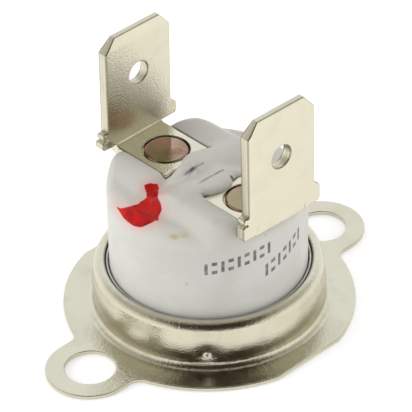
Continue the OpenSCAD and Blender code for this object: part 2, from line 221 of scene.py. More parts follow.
def metal_face():
    """Group for sheet metal: rolling grain drawn out along one direction, fine pits, and low dull smudges. A thin
    dark line along a marked cut edge is painted shade, and the cut face itself is darker."""
    tree, given, result = group("metal_face", {"Vector": "Place Stretch", "Color": "Bright Dull",
                                               "Float": "Smudge Roughness Spread Worn Mottle"},
                                {"Color": "Color", "Float": "Roughness Height"})
    drawn = add(tree, "VectorMath", {"operation": "MULTIPLY"}, in0=given["Place"], in1=given["Stretch"])[0]
    grain = noise(drawn, 1600.0, 5.0)
    pits = noise(given["Place"], 7000.0, 3.0)
    smudge = ramp(noise(given["Place"], 420.0, 5.0, 0.8), 0.38, 0.72)
    share = times(given["Smudge"], maths("MULTIPLY_ADD", grain, 0.35, smudge))
    edge = add(tree, "Attribute", {"attribute_name": "edge"})["Fac"]
    # painted shade: a thin dark line where the edge mark is near the shade line's value, besides the darker cut face
    # below zero
    line = ramp(apart(edge, shade_line_edge), 0.09, 0.02)
    worn = times(given["Worn"], maths("MAXIMUM", line, ramp(edge, -0.02, -0.15, 0.0, 0.15)))
    rough = maths("MULTIPLY_ADD", maths("MULTIPLY_ADD", grain, 0.4, smudge), given["Spread"], given["Roughness"])
    plug(result, Color=tint(worn, tint(share, given["Bright"], given["Dull"]), tone(92, 84, 64)),
         Roughness=maths("ADD", rough, ramp(edge, -0.02, -0.15, 0.0, 0.22)),
         Height=maths("MULTIPLY_ADD", pits, given["Mottle"], grain))
    return tree


metal_group = metal_face()


def new_material(name):
    """New material; returns it, its tree, its shader and the place on the object."""
    material = bpy.data.materials.new(name)
    material.use_nodes = True
    tree = material.node_tree
    return material, tree, tree.nodes["Principled BSDF"], add(tree, "TexCoord")["Object"]


def metal(name, bright, dull, stretch=(1, 1, 1), smudge=0.5, rough=0.2, spread=0.15, relief=0.003, worn=0.0,
          mottle=0.8, spun=False):
    """Sheet or turned metal on the metal_face group, with its height in millimetres as a bump. The grain of a
    spun piece follows it round: its place is the point in its direction on a circle round Z, and the height
    less the distance from Z is its third part."""
    material, tree, shader, place = new_material(name)
    if spun:
        circle_r = 8.5 * MM
        parts = add(tree, "SeparateXYZ", Vector=place)
        flat = add(tree, "CombineXYZ", X=parts["X"], Y=parts["Y"], Z=0.0)[0]
        away = add(tree, "VectorMath", {"operation": "LENGTH"}, in0=flat)["Value"]
        circle = add(tree, "VectorMath", {"operation": "NORMALIZE"}, in0=flat)[0]
        circle = add(tree, "VectorMath", {"operation": "MULTIPLY"}, in0=circle, in1=(circle_r,) * 3)[0]
        along = add(tree, "CombineXYZ", X=0.0, Y=0.0, Z=maths("SUBTRACT", parts["Z"], away))[0]
        place = add(tree, "VectorMath", {"operation": "ADD"}, in0=circle, in1=along)[0]
    # the strength of the painted shade line at cut edges and of the darker cut face is passed on here
    face = add(tree, "Group", {"node_tree": metal_group}, Place=place, Bright=tone(*bright), Dull=tone(*dull),
               Stretch=stretch, Smudge=smudge, Roughness=rough, Spread=spread, Worn=worn, Mottle=mottle)
    bump = add(tree, "Bump", Height=face["Height"], Distance=relief * MM, Strength=1.0)[0]
    plug(shader, Metallic=1.0, Base_Color=face["Color"], Roughness=face["Roughness"], Normal=bump)
    return material


cap_section = rounded(
    [(0, 0), (cap_step_r, 0), (cap_step_r, cap_ledge_z - cap_t), (cap_r, cap_ledge_z - cap_t), (cap_r, cap_top),
     (bead_out_r, cap_top), (bead_out_r, bead_z), (bead_in_r, bead_z), (bead_in_r, cap_top - cap_t),
     (cap_r - cap_t, cap_top - cap_t), (cap_r - cap_t, cap_ledge_z), (cap_step_r - cap_t, cap_ledge_z),
     (cap_step_r - cap_t, cap_t), (0, cap_t)],
    [0, 0.3, 0.12, 0.32, 0.28, 0.02, 0.08, 0.08, 0.05, 0.08, 0.1, 0.12, 0.12, 0])
x, y, z = np.moveaxis(turned(cap_section), -1, 0)
away = np.hypot(x, y)
# painted shade: the cap's top beside its bead, down in the gap under the collar's lip, is painted fully dark for the
# shadow there
gap_shade = (away > bead_out_r - 0.02) & (away < cap_r - 0.1) & (z > cap_top - 0.1) & (z < bead_z - 0.1)
cap_metal = metal("drawn_aluminium", (204, 205, 206), (168, 168, 166), stretch=(0.1, 0.1, 1), smudge=0.6, rough=0.3,
                  spread=0.2, relief=0.01, worn=1.0, spun=True)
sensing_cap = solid("sensing_cap_drawn", [points(x, y, z, np.where(gap_shade, shade_line_edge, off_edge))], cap_metal)
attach(sensing_cap, "housing")
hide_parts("sensing_cap")

# Snap disc: two metals rolled together and stamped into a shallow dish, which turns over when it is hot.
# It lies loose on the cap's ledge, and as it turns over it lifts the pin.
disc_low, disc_high = np.array(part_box("bimetal_disc")) / MM
disc_r = disc_high[0]
disc_t = 0.2
disc_dish = disc_high[2] - disc_low[2] - disc_t
disc_share = np.linspace(0, 1, 40)
disc_under = points(disc_r * disc_share, disc_low[2] + disc_dish * disc_share ** 2)
disc_metal = metal("bimetal_strip", (176, 170, 158), (120, 104, 84), stretch=(0.05, 1, 1), smudge=0.7, rough=0.28)
bimetal_disc = solid("bimetal_disc_dished", [turned(np.vstack([disc_under, disc_under[::-1] + (0, disc_t)]))],
                     disc_metal)
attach(bimetal_disc, "housing")
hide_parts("bimetal_disc")
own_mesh(bimetal_disc)


# Pin guide: a moulded disc that closes the cap over the snap disc and guides the push pin in its boss.
# It is moulded in brown phenolic, with a faint flow pattern and a matt skin.
def moulded(name, light, dark, rough, cell, relief):
    """Moulded or fired material: two tones in soft clouds, with a fine skin as a bump."""
    material, tree, shader, place = new_material(name)
    clouds = ramp(noise(place, 500.0, 6.0, 1.5), 0.3, 0.7)
    skin = noise(place, 1000.0 / cell, 4.0)
    plug(shader, Base_Color=tint(clouds, tone(*light), tone(*dark)),
         Roughness=ramp(skin, 0.2, 0.8, rough - 0.08, rough + 0.08),
         Normal=add(tree, "Bump", Height=skin, Distance=relief * MM)[0])
    return material


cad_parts["pin_guide"].data.materials[0] = moulded("phenolic", (118, 86, 62), (92, 64, 44), rough=0.55,
                                                        cell=0.12, relief=0.006)

# Push pin: a small fired ceramic rod, which passes the disc's movement on to the contact arm. Its tapered nose
# is rounded, so that the arm rolls over it as it lifts.
pin_low, pin_high = np.array(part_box("push_pin")) / MM
pin_r, nose_r, taper = pin_high[0], 0.4, 0.6
pin_section = rounded([(0, pin_low[2]), (pin_r, pin_low[2]), (pin_r, pin_high[2] - taper), (nose_r, pin_high[2]),
                       (0, pin_high[2])], [0, 0.1, 0.3, 0.8, 0])
push_pin = solid("push_pin_fired", [turned(pin_section, steps=96)],
                 moulded("pin_ceramic", (236, 230, 220), (222, 214, 202), rough=0.5, cell=0.08, relief=0.003))
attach(push_pin, "pin")
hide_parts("push_pin")

# Contacts: brass spacer, washers and stepped strip under the roof, and silver buttons on the arm and the strip.
# They are cut and turned pieces, so their grain runs along the strip or round the ring.
brass = metal("rolled_brass", (214, 182, 116), (160, 128, 72), stretch=(1, 0.08, 1), rough=0.25)
silver = metal("contact_silver", (226, 226, 224), (180, 178, 172), smudge=0.4, rough=0.22)
for node_name in ("fixed_strip", "arm_spacer", "arm_washer", "strip_washer"):
    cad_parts[node_name].data.materials[0] = brass
for node_name in ("arm_contact", "fixed_contact"):
    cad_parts[node_name].data.materials[0] = silver

# Contact arm: a leaf of spring bronze with a round eye on the rivet. Its root is clamped, and its tongue
# bends up when the pin rises, so the sheet has a row of points every tenth of a millimetre along its length.
arm_low, arm_high = np.array(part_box("contact_arm")) / MM
eye_r = 1.5
eye_hole_r = 1.25
eye_y = arm_high[1] - eye_r
eye_open = 0.75
arm_w = 2.4


def arc(centre, radius, start, end, count):
    """Points spread evenly on an arc between two bearings."""
    return polar(radius, np.linspace(start, end, count), centre)


def ring_patch(loop, centre, radius, rows=8, bunch=1.0):
    """Flat ring between a closed loop and a circle: each row lies a share of the way from a loop point to the
    circle's point in the same direction. A bunch above 1 draws the rows towards the circle."""
    inner = centre + radius * unit(loop - np.array(centre))
    grid = loop + (1 - np.linspace(1, 0, rows + 1) ** bunch)[:, None, None] * (inner - loop)
    return np.concatenate([grid, grid[:, :1]], 1)


def walls(outline, low, high):
    """Upright wall on a closed outline between two heights."""
    closed = np.vstack([outline, outline[:1]])
    return np.stack([lift(closed, low), lift(closed, high)])


tongue = points(*np.meshgrid(np.linspace(-arm_w / 2, arm_w / 2, 9), np.linspace(arm_low[1], eye_y - 1.6, 46)))
eye_arc = arc((0, eye_y), eye_r, eye_open - np.pi / 2, 1.5 * np.pi - eye_open, 60)
eye_face = ring_patch(np.vstack([tongue[-1], eye_arc]), (0, eye_y), eye_hole_r, 4)
arm_patches = [walls(outline, arm_low[2], arm_high[2])
               for outline in (np.vstack([tongue[0], tongue[1:, -1], eye_arc, tongue[:0:-1, 0]]), eye_face[-1, :-1])]
arm_patches += [lift(flat, height) for height in (arm_low[2], arm_high[2]) for flat in (tongue, eye_face)]
bronze = metal("spring_bronze", (206, 160, 112), (150, 106, 68), stretch=(1, 0.06, 1), rough=0.25)
contact_arm = solid("contact_arm_leaf", arm_patches, bronze)
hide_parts("contact_arm")
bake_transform(contact_arm)

# Ceramic body: pressed and fired white ceramic, round below and moulded on top. Two pockets hold the feet,
# ribs stand beside them, and a thick barrier keeps the two feet apart and laps over their inner ends.
body_low, body_high = np.array(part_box("ceramic_body")) / MM
base_r, base_z = body_high[0], body_low[2]
body_r = 7.28
base_top = 3.45
skirt_top = base_top + 0.15
top_z = 10.75
rim_round, rim_tight = 1.3, 0.65
edge_round, edge_soft = 0.06, 0.29
pocket_x, pocket_y, seat_z = 2.36, 1.79, 10.58
rivet_y, shank_r = 4.24, 1.25
chamber_r, roof_z = 5.9, 7.8
barrier_z = body_high[2]
broad_x, broad_high = 3.85, 1.1
narrow_x, narrow_high = -3.0, 0.82
ridge_y, valley_fill = 0.95, 0.25
lap_x, lap_far, lip_deep, lip_above = 0.45, 0.65, 0.3, 0.82
crease_deep, crease_wide = 0.04, 0.07
view_z = 6.08
creases = (((-1.56, 0.85), (-0.97, 0.62)), ((-0.97, 0.62), (0.18, 0.56)), ((-1.77, -1.04), (-0.57, -1.03)),
           ((-0.57, -1.03), (0.55, -1.11)))


def ease(value, low, high):
    """Smooth step from 0 at low to 1 at high."""
    t = np.clip((value - low) / (high - low), 0, 1)
    return t * t * (3 - 2 * t)


def swell(d, below, above):
    """Rounded hill across d: 1 on its crest, 0 past its width on each side."""
    t = np.clip(np.where(d < 0, -d / below, d / above), 0, 1)
    return (1 - t * t) ** 1.5


def soft_max(a, b):
    """Larger of two heights, with the valley between them filled."""
    h = np.clip(0.5 + 0.5 * (a - b) / valley_fill, 0, 1)
    return b + (a - b) * h + valley_fill * h * (1 - h)


def fall(share):
    """Depth of a quarter circle of radius 1 at a share of the way to its foot."""
    return 1 - np.sqrt(1 - np.clip(share, 0, 1) ** 2)


def outline_distance(plan, outline):
    """Distance from each plan position to a closed outline, below zero inside it. For each side it is the
    distance to that side's nearest point, and the inside is where a level ray crosses an odd number of sides."""
    p = plan[:, None]
    a = np.asarray(outline, float)
    b = np.roll(a, -1, 0)
    share = np.clip(((p - a) * (b - a)).sum(-1) / ((b - a) ** 2).sum(-1), 0, 1)
    nearest = np.linalg.norm(p - a - share[..., None] * (b - a), axis=-1).min(1)
    spans = (a[:, 1] > p[..., 1]) != (b[:, 1] > p[..., 1])
    rise = np.where(b[:, 1] == a[:, 1], 1e-9, b[:, 1] - a[:, 1])
    crossing = a[:, 0] + (p[..., 1] - a[:, 1]) / rise * (b[:, 0] - a[:, 0])
    inside = ((spans & (p[..., 0] < crossing)).sum(1) % 2) == 1
    return np.where(inside, -nearest, nearest)


def crease_distance(x, y):
    """Distance on the plan from the nearest of the mould lines on the barrier."""
    plan = points(x, y)
    return np.min([outline_distance(plan.reshape(-1, 2), line) for line in creases], 0).reshape(plan.shape[:-1])


def half_relief(x, y):
    """Relief round the foot at +Y: a broad rib on its +X side, a narrow one on the other, and half the barrier."""
    broad = broad_high * swell(x - broad_x, 2.9, 1.55) * ease(y, 0.2, 1.4)
    narrow = narrow_high * swell(x - narrow_x, 2.4, 2.0) * ease(y, 1.0, 2.6)
    along = ease(x + 0.35 * swell(y - 1.5, 1.2, 1.2), -3.2, -0.4) * (1 - ease(x, 4.0, 5.6))
    barrier = (barrier_z - top_z) * swell(y - ridge_y, 2.6, 2.48) * along
    return soft_max(soft_max(broad, narrow), barrier)


def relief(x, y, easing=True):
    """Height of the moulded top. Turned half round about Z it is the same. It falls away at the round rim, most
    tightly beside each foot's narrow rib, and is eased at the pockets' edges. Faint lines cross the barrier."""
    height = top_z + soft_max(half_relief(x, y), half_relief(-x, -y))
    line = np.exp(-(crease_distance(x, y) / crease_wide) ** 2)
    rim = rim_round - rim_tight * ease(-np.sign(y) * x, 1.5, 3.5) * ease(np.abs(y), 2.0, 4.5)
    edge = edge_round + edge_soft * (1 - ease(np.abs(x), 1.9, pocket_x))
    near = np.hypot(np.maximum(np.abs(x) - pocket_x, 0), np.maximum(pocket_y - np.abs(y), 0)) / edge
    eased = edge * fall(1 - near) if easing else edge_round
    return height - crease_deep * line - eased - rim * fall((np.hypot(x, y) - body_r + rim) / rim)


def floor_height(x, y):
    """Height of a pocket's floor, which ends where the round rim falls below it."""
    return np.minimum(seat_z, relief(x, y, False))


def lap(x):
    """How far the barrier's edge laps over the end of the foot at +Y."""
    return lap_far * np.exp(-((x - lap_x) / 1.4) ** 2) * ease(x, -1.3, -0.2) * (1 - ease(x, 1.6, pocket_x))


def lip_foot(z):
    """Height to which the barrier's lip hangs down over a foot, from the height of its edge."""
    return np.minimum(z - 0.02, np.maximum(z - lip_deep, seat_z + lip_above))


def on_top(x, y):
    """Points of the top at a plan position, with the barrier's edges drawn out over the feet."""
    over = lap(np.sign(y) * x) * ease(np.abs(y), 0.5, pocket_y) * (np.abs(y) < pocket_y + 1e-6)
    return points(x, y + np.sign(y) * over * (np.abs(x) <= pocket_x), relief(x, y))


def turned_half(grids):
    """The same grids turned half round about Z."""
    return [grid * (-1, -1, 1, 1)[:grid.shape[-1]] for grid in grids]


rows_out = 1 - (1 - np.linspace(0, 1, 71)) ** 1.7
bank_angle, wall_angle = np.arcsin(pocket_y / body_r), np.arccos(pocket_x / body_r)
fan_angle = wall_angle + (bank_angle - wall_angle) * np.linspace(0, 1, 73) ** 1.6
across = pocket_y * np.sin(np.linspace(-np.pi / 2, np.pi / 2, 53))
along_end = pocket_x * np.sin(np.linspace(-np.pi / 2, np.pi / 2, 97))
arc_angle = np.linspace(wall_angle, np.pi - wall_angle, 41)
half = [on_top(pocket_x + rows_out[:, None] * (np.sqrt(body_r ** 2 - across ** 2) - pocket_x), across)]
for side in (1, -1):
    corner = np.array([side * pocket_x, pocket_y])
    fan = corner + rows_out[:, None, None] * (polar(body_r, fan_angle) * (side, 1) - corner)
    half.append(on_top(*np.moveaxis(fan, -1, 0)))
    edge_line = fan[:, 0]
    upper, lower = relief(*edge_line.T), floor_height(*edge_line.T)
    half.append(np.stack([lift(edge_line, z) for z in (upper, np.clip(lip_foot(upper), lower, upper), lower)]))
lip = on_top(along_end, pocket_y)
lip_low = lip_foot(lip[:, 2])
half.append(np.stack([lip, lift(lip, lip_low), points(along_end, pocket_y, lip_low),
                      points(along_end, pocket_y, seat_z)]))
right_side = points(pocket_x, pocket_y + rows_out[1:] * (body_r * np.sin(wall_angle) - pocket_y))
pocket_loop = np.vstack([points(along_end, pocket_y), right_side, polar(body_r, arc_angle)[1:-1],
                         right_side[::-1] * (-1, 1)])
floor = ring_patch(pocket_loop, (0, rivet_y), shank_r, 18)
half.append(lift(floor, floor_height(*np.moveaxis(floor, -1, 0))))
rim_angle = np.concatenate([np.arcsin(across / body_r), fan_angle[::-1][1:], arc_angle[1:], np.pi - fan_angle[1:]])
x, y = polar(body_r, rim_angle).T
in_pocket = (np.abs(x) < pocket_x - 1e-6) & (np.abs(y) > pocket_y)
rim_z = np.where(in_pocket, floor_height(x, y), relief(x, y))
roof_arc = polar(chamber_r, rim_angle)
roof_line = np.linspace(roof_arc[-1], roof_arc[0], len(pocket_loop) - len(rim_angle) + 2)[1:-1]
roof = ring_patch(np.vstack([roof_arc, roof_line]), (0, rivet_y), shank_r, 6)
half.append(lift(roof, roof_z))
# the bore joins the floor's circle to the roof's, which has as many points and is rolled to start beside it
start = np.linalg.norm(roof[-1, :-1] - floor[-1, 0], axis=1).argmin()
roof_circle = np.roll(roof[-1, :-1], -start, 0)
half.append(np.stack([lift(floor[-1], seat_z), lift(np.vstack([roof_circle, roof_circle[:1]]), roof_z)]))
half.append(points(x, y, rim_z + np.linspace(0, 1, 46)[:, None] * (skirt_top - rim_z)))
skirt = rounded([(body_r, skirt_top), (body_r, base_top), (base_r, base_top), (base_r, base_z),
                 (chamber_r, base_z), (chamber_r, roof_z), (chamber_r - 1, roof_z)],
                [0, 0.12, 0.15, 0.1, 0.1, 0.0, 0])[:-1]
half.append(lift(polar(skirt[:, :1], rim_angle), skirt[:, 1:]))

paint_outline = [(-6.61, 1.85), (-6.38, 1.71), (-6.1, 1.78), (-5.82, 1.85), (-5.46, 1.93), (-5.13, 2.01), (-4.91, 2.2),
                 (-4.69, 2.32), (-4.5, 2.51), (-4.51, 2.87), (-4.64, 3.14), (-4.68, 3.41), (-4.49, 3.48), (-4.28, 3.56),
                 (-4.0, 3.48), (-3.73, 3.5), (-3.64, 3.21), (-3.68, 2.87), (-3.65, 2.51), (-3.52, 2.16), (-3.41, 1.89),
                 (-3.41, 1.62), (-3.51, 1.32), (-3.6, 1.1), (-3.61, 0.82), (-3.77, 0.9), (-3.93, 0.83), (-4.21, 0.66),
                 (-4.65, 0.46), (-5.01, 0.41), (-5.32, 0.48), (-5.59, 0.63), (-5.96, 0.9), (-6.19, 1.18), (-6.37, 1.4)]
paint_across = np.array([0.7196, -0.6942, -0.0172])
paint_up = np.array([0.4222, 0.4176, 0.8046])


def ink_marks():
    """Group for one row of plain ink dashes round the wall: upright dashes, with short level ones between.
    The place along the row is the bearing, and the row rises evenly with it."""
    tree, given, result = group("ink_marks", {"Float": "Start Pitch Count Foot Rise Tall"}, {"Float": "Mask"})
    place = add(tree, "SeparateXYZ", Vector=add(tree, "TexCoord")["Object"])
    bearing = maths("ARCTAN2", place["Y"], place["X"])
    steps = maths("DIVIDE", maths("SUBTRACT", bearing, given["Start"]), given["Pitch"])
    foot = maths("MULTIPLY_ADD", steps, given["Rise"], given["Foot"])
    height = maths("DIVIDE", maths("SUBTRACT", place["Z"], foot), given["Tall"])
    even = maths("COMPARE", maths("PINGPONG", maths("FLOOR", steps), 1.0), 0.0, 0.1)
    middle = apart(maths("FRACT", steps), 0.45)
    level = apart(height, 0.5)
    upright = times(ramp(middle, 0.24, 0.16), ramp(level, 0.54, 0.46))
    bars = times(ramp(middle, 0.36, 0.3), ramp(apart(level, 0.38), 0.19, 0.12))
    mark = maths("ADD", times(even, upright), times(maths("SUBTRACT", 1.0, even), bars))
    held = times(maths("GREATER_THAN", steps, 0.0), maths("LESS_THAN", steps, given["Count"]))
    plug(result, Mask=times(mark, held))
    return tree


def spot_mask(place, centre, size, soft=0.5):
    """Soft round spot: 1 at its centre, 0 at its size away, in millimetres along X, Y and Z."""
    way = add(place.id_data, "Mapping", {"vector_type": "TEXTURE"}, Vector=place,
              Location=np.array(centre) * MM, Scale=np.array(size) * MM)[0]
    reach = add(place.id_data, "VectorMath", {"operation": "LENGTH"}, in0=way)["Value"]
    return ramp(reach, 1.0, soft)


def fired_ceramic():
    """White body: soft clouds, painted shade that greys the top, brown specks, stains, pressed-in dirt on the mould
    lines, the ink marks and a daub of red paint with a pink bleed round it."""
    material, tree, shader, place = new_material("fired_white_ceramic")
    clouds = ramp(noise(place, 260.0, 5.0, 0.6), 0.3, 0.75)
    fine = noise(place, 5200.0, 4.0)
    colour = tint(clouds, tone(212, 211, 205), tone(204, 202, 195))
    # painted shade: the top turns greyer towards its highest part, for the dimmer light from above
    up = ramp(add(tree, "SeparateXYZ", Vector=place)["Z"], 9.6 * MM, 11.2 * MM)
    colour = tint(times(up, 0.55), colour, tone(196, 193, 184))
    specks = ramp(noise(place, 2600.0, 2.0), 0.70, 0.78)
    colour = tint(times(specks, 0.35), colour, tone(150, 140, 128))
    patchy = ramp(noise(place, 2000.0, 4.0, 0.8), 0.35, 0.55, 0.25, 1.0)
    for centre, size, stain, share in (((-6.15, -3.0, 10.56), (0.62, 0.58, 0.24), (184, 174, 126), 0.9),
                                       ((-5.65, -3.55, 10.7), (0.66, 0.6, 0.24), (192, 184, 144), 0.8),
                                       ((-3.95, -5.05, 11.72), (0.6, 0.5, 0.3), (192, 184, 156), 0.5),
                                       ((-0.9, 0.3, 11.9), (1.9, 1.5, 1.5), (176, 172, 168), 0.6),
                                       ((-3.4, 0.3, 11.6), (1.8, 1.6, 1.5), (190, 178, 172), 0.6)):
        mask = times(spot_mask(place, centre, size, 0.2), share)
        colour = tint(times(mask, patchy), colour, tone(*stain))
    line, daub_edge = (add(tree, "Attribute", {"attribute_name": name})["Fac"] for name in ("crease", "daub"))
    broken = ramp(noise(place, 1800.0, 3.0), 0.3, 0.6)
    dirt = times(ramp(line, 0.13, 0.03), maths("MULTIPLY_ADD", broken, 0.6, 0.1))
    for centre, size, share in (((-0.8, 0.58, 11.8), (0.6, 0.22, 1.0), 0.5),
                                ((-1.05, 0.68, 11.6), (0.6, 0.08, 3.0), 0.75),
                                ((-0.84, 0.6, 11.6), (0.34, 0.11, 3.0), 1.0),
                                ((0.6, -1.97, 11.64), (0.22, 0.24, 0.3), 1.0)):
        dirt = maths("MAXIMUM", dirt, times(spot_mask(place, centre, size, 0.65), share))
    colour = tint(times(dirt, 0.9), colour, tone(62, 59, 56))
    marks = ink_marks()
    rows = [add(tree, "Group", {"node_tree": marks}, Start=np.radians(start), Pitch=np.radians(pitch), Count=count,
                Foot=foot * MM, Rise=rise * MM, Tall=tall * MM)["Mask"]
            for start, pitch, count, foot, rise, tall in ((-137.0, 4.7, 9.0, 7.72, 0.1, 0.95),
                                                          (-101.0, 4.6, 7.0, 6.55, 0.2, 1.05))]
    worn = ramp(noise(place, 3000.0, 3.0), 0.25, 0.6, 0.6, 0.9)
    colour = tint(times(maths("MAXIMUM", *rows), worn), colour, tone(92, 80, 84))
    ragged = maths("MULTIPLY_ADD", maths("SUBTRACT", noise(place, 1500.0, 4.0), 0.5), 0.22, daub_edge)
    colour = tint(times(ramp(ragged, 0.8, -0.05), 0.34), colour, tone(236, 150, 150))
    paint = ramp(ragged, 0.03, -0.03)
    thick = ramp(noise(place, 700.0, 4.0, 1.2), 0.3, 0.7)
    skin = add(tree, "Bump", Height=fine, Distance=0.003 * MM)[0]
    film = maths("MULTIPLY_ADD", thick, 0.3, ramp(ragged, 0.06, -0.1))
    plug(shader, Specular_IOR_Level=0.25,
         Base_Color=tint(paint, colour, tint(thick, tone(200, 10, 8), tone(150, 2, 4))),
         Roughness=maths("MULTIPLY_ADD", paint, -0.12, ramp(fine, 0.2, 0.8, 0.38, 0.5)),
         Normal=add(tree, "Bump", Height=film, Distance=0.03 * MM, Normal=skin)[0])
    return material


top_middle = on_top(*np.meshgrid(along_end, across))
ceramic_body = solid("ceramic_body_fired", [top_middle] + half + turned_half(half), fired_ceramic())
# the distances are measured only near the marks, and elsewhere they stay far off
spots = np.empty(len(ceramic_body.data.vertices) * 3)
ceramic_body.data.vertices.foreach_get("co", spots)
spots = spots.reshape(-1, 3) / MM
plan = points(spots @ paint_across, (spots - (0, 0, view_z)) @ paint_up)
near_daub = (spots[:, 0] < -2) & (spots[:, 2] > 6) & (np.abs(plan - (-5, 1.9)) < 3).all(1)
daub = np.full(len(spots), far_off)
daub[near_daub] = outline_distance(plan[near_daub], paint_outline)
keep_values(ceramic_body.data, "daub", daub)
near_line = (np.abs(spots[:, :2]) < 2.2).all(1) & (spots[:, 2] > 10.5)
lined = np.full(len(spots), far_off)
lined[near_line] = crease_distance(*spots[near_line, :2].T)
keep_values(ceramic_body.data, "crease", lined)
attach(ceramic_body, "housing")
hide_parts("ceramic_body")

# Terminals: two blanks stamped from nickel-plated brass sheet and bent once. The foot lies in its pocket and
# the blade stands up, with a latch hole, cut corners, a thinned tip and stop shoulders pinched out of its edges.
sheet_t = 0.8
half_sheet = sheet_t / 2
bend_mid_r = 0.13 + half_sheet
foot_half, foot_end = 2.3, 1.87
blade_half, shoulder_half = 3.15, 3.72
tip_t, tip_h = 0.46, 0.8
cut_h, cut_wide, cut_narrow = 1.04, 1.04, 0.86
latch_r, latch_down = 0.9, 3.87
sink_r, sink_depth = 1.75, 0.45
latch_block, hole_block = 1.4, 2.0
edge_r, end_r = 0.07, 0.22
bend_power = 6
foot_mid_z = seat_z + half_sheet
blade_z = foot_mid_z + bend_mid_r
lean_z = seat_z + sheet_t


def even_lines(*stops, gap=0.3):
    """Grid lines through all the stops, spread evenly between them."""
    stops = sorted(set(np.round(stops, 6)))
    parts = [np.linspace(a, b, max(int(np.ceil((b - a) / gap - 1e-6)), 1) + 1)[:-1] for a, b in zip(stops, stops[1:])]
    return np.concatenate(parts + [stops[-1:]])


